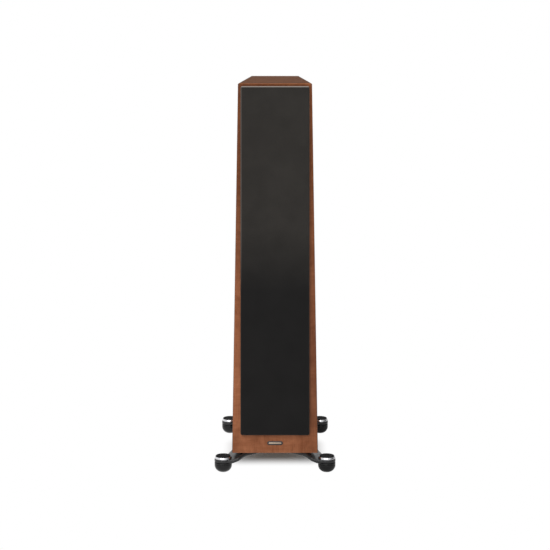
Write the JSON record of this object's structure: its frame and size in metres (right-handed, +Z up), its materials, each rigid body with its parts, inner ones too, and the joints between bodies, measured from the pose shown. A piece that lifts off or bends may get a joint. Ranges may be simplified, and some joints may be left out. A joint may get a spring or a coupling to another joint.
{
  "type": "floorstanding speaker",
  "caption": "Tapered floorstanding loudspeaker with a pull-off cloth grille, rear port and binding posts, standing on levelling outrigger feet.",
  "frame": {"origin": "on the floor, midway between the levelling feet", "axes": "+Z up, the grille and drivers face -Y, +X to the right seen from the front"},
  "size_m": [0.3332, 0.444, 1.062],
  "materials": {
    "walnut_veneer": "satin",
    "bare_board": "matte",
    "grille_cloth": "matte",
    "wadding": "matte",
    "black_moulding": "satin",
    "cone": "satin",
    "surround": "matte",
    "spider": "matte",
    "dome": "matte",
    "basket": "satin",
    "motor": "matte",
    "magnet": "satin",
    "post": "polished",
    "red_knob": "gloss",
    "black_knob": "gloss",
    "board": "matte",
    "coil": "satin",
    "capacitor": "gloss",
    "badge": "satin",
    "arm": "satin",
    "foot": "satin",
    "knob": "polished",
    "knob_cap": "satin"
  },
  "bodies": {
    "cabinet": {"front_baffle": "walnut_veneer", "left_side_panel": "walnut_veneer", "right_side_panel": "walnut_veneer", "top_panel": "walnut_veneer", "rear_panel": "walnut_veneer", "bottom_panel": "walnut_veneer", "window_braces": "bare_board", "upper_wadding": "wadding", "lower_wadding": "wadding", "baffle_magnets": "magnet", "badge": "badge", "tweeter_faceplate": "black_moulding", "tweeter_motor": "motor", "port_tube": "black_moulding", "terminal_plate": "black_moulding", "left_binding_post": "post", "right_binding_post": "post", "crossover_board": "board", "crossover_coils": "coil", "crossover_capacitors": "capacitor", "upper_woofer_basket": "basket", "upper_woofer_motor": "motor", "upper_woofer_surround": "surround", "upper_woofer_spider": "spider", "lower_woofer_basket": "basket", "lower_woofer_motor": "motor", "lower_woofer_surround": "surround", "lower_woofer_spider": "spider", "front_left_arm": "arm", "front_right_arm": "arm", "rear_left_arm": "arm", "rear_right_arm": "arm"},
    "grille": {"grille_frame": "black_moulding", "grille_cloth": "grille_cloth", "grille_magnets": "magnet"},
    "upper_woofer_diaphragm": {"upper_woofer_cone": "cone"},
    "lower_woofer_diaphragm": {"lower_woofer_cone": "cone"},
    "tweeter_diaphragm": {"tweeter_dome": "dome"},
    "left_post_cap": {"left_post_knob": "black_knob"},
    "right_post_cap": {"right_post_knob": "red_knob"},
    "front_left_leveller": {"front_left_foot": "foot"},
    "front_left_handwheel": {"front_left_knob": "knob", "front_left_knob_cap": "knob_cap"},
    "front_right_leveller": {"front_right_foot": "foot"},
    "front_right_handwheel": {"front_right_knob": "knob", "front_right_knob_cap": "knob_cap"},
    "rear_left_leveller": {"rear_left_foot": "foot"},
    "rear_left_handwheel": {"rear_left_knob": "knob", "rear_left_knob_cap": "knob_cap"},
    "rear_right_leveller": {"rear_right_foot": "foot"},
    "rear_right_handwheel": {"rear_right_knob": "knob", "rear_right_knob_cap": "knob_cap"}
  },
  "joints": [
    {"name": "grille_pull", "type": "slide", "parent": "cabinet", "child": "grille", "axis": [0, -1, 0], "range_m": [0, 0.08]},
    {"name": "upper_woofer_travel", "type": "slide", "parent": "cabinet", "child": "upper_woofer_diaphragm", "axis": [0, -1, 0], "range_m": [-0.0035, 0.0035], "stiffness_N_per_m": 1200, "deforming": ["upper_woofer_surround", "upper_woofer_spider"]},
    {"name": "lower_woofer_travel", "type": "slide", "parent": "cabinet", "child": "lower_woofer_diaphragm", "axis": [0, -1, 0], "range_m": [-0.0035, 0.0035], "stiffness_N_per_m": 1200, "deforming": ["lower_woofer_surround", "lower_woofer_spider"]},
    {"name": "tweeter_travel", "type": "slide", "parent": "cabinet", "child": "tweeter_diaphragm", "axis": [0, -1, 0], "range_m": [-0.0005, 0.0005], "stiffness_N_per_m": 1000},
    {"name": "left_post_turn", "type": "hinge", "parent": "cabinet", "child": "left_post_cap", "pos_m": [-0.019, 0.1835, 0.168], "axis": [0, 1, 0], "continuous": true},
    {"name": "right_post_turn", "type": "hinge", "parent": "cabinet", "child": "right_post_cap", "pos_m": [0.019, 0.1835, 0.168], "axis": [0, 1, 0], "continuous": true},
    {"name": "front_left_handwheel_turn", "type": "hinge", "parent": "cabinet", "child": "front_left_handwheel", "pos_m": [-0.1426, -0.198, 0.04], "axis": [0, 0, 1], "range_deg": [0, 2300]},
    {"name": "front_left_foot_travel", "type": "slide", "parent": "cabinet", "child": "front_left_leveller", "axis": [0, 0, -1], "range_m": [0, 0.008]},
    {"name": "front_right_handwheel_turn", "type": "hinge", "parent": "cabinet", "child": "front_right_handwheel", "pos_m": [0.1426, -0.198, 0.04], "axis": [0, 0, 1], "range_deg": [0, 2300]},
    {"name": "front_right_foot_travel", "type": "slide", "parent": "cabinet", "child": "front_right_leveller", "axis": [0, 0, -1], "range_m": [0, 0.008]},
    {"name": "rear_left_handwheel_turn", "type": "hinge", "parent": "cabinet", "child": "rear_left_handwheel", "pos_m": [-0.1344, 0.198, 0.04], "axis": [0, 0, 1], "range_deg": [0, 2300]},
    {"name": "rear_left_foot_travel", "type": "slide", "parent": "cabinet", "child": "rear_left_leveller", "axis": [0, 0, -1], "range_m": [0, 0.008]},
    {"name": "rear_right_handwheel_turn", "type": "hinge", "parent": "cabinet", "child": "rear_right_handwheel", "pos_m": [0.1344, 0.198, 0.04], "axis": [0, 0, 1], "range_deg": [0, 2300]},
    {"name": "rear_right_foot_travel", "type": "slide", "parent": "cabinet", "child": "rear_right_leveller", "axis": [0, 0, -1], "range_m": [0, 0.008]}
  ],
  "couplings": [
    {"joint": "front_left_foot_travel", "follows": "front_left_handwheel_turn", "m_per_rad": 0.00019894},
    {"joint": "front_right_foot_travel", "follows": "front_right_handwheel_turn", "m_per_rad": 0.00019894},
    {"joint": "rear_left_foot_travel", "follows": "rear_left_handwheel_turn", "m_per_rad": 0.00019894},
    {"joint": "rear_right_foot_travel", "follows": "rear_right_handwheel_turn", "m_per_rad": 0.00019894}
  ]
}
